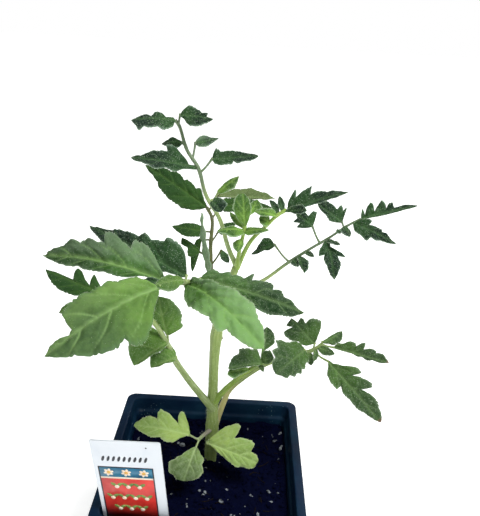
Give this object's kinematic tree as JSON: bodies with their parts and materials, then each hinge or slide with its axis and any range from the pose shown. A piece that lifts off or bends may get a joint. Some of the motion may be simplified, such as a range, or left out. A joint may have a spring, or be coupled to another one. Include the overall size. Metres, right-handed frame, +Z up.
{
  "type": "potted tomato seedling",
  "caption": "Young tomato plant with compound leaves on an upright stem, in a square tapered nursery pot with soil and a plain plant label.",
  "frame": {"origin": "centre of the pot's flat underside, at the level of the surface that the pot stands on", "axes": "+Z up along the pot, -Y toward the front of the picture, +X to its right"},
  "size_m": [0.1392, 0.1386, 0.2472],
  "materials": {
    "pot_plastic": "dark navy moulded plastic, slightly glossy",
    "potting_soil": "damp dark peat with white perlite grains",
    "label_plastic": null,
    "stem_green": "pale green skin with fine hairs",
    "leaf_green": "matt green leaf with veins, paler underneath",
    "young_leaf": "yellow-green young leaf with veins"
  },
  "bodies": {
    "root": {"pot": "pot_plastic", "soil": "potting_soil", "label": "label_plastic", "main_stem": "stem_green", "basal_leaf_left": "young_leaf", "basal_leaf_right": "young_leaf", "leaf_low_left": "leaf_green", "leaf_low_right": "leaf_green", "leaf_low_right_rear": "leaf_green", "leaf_back": "leaf_green", "leaf_near": "leaf_green", "leaf_right": "leaf_green", "leaf_top_left": "leaf_green", "leaf_top_right": "leaf_green", "shoot_tip": "young_leaf"}
  },
  "joints": []
}
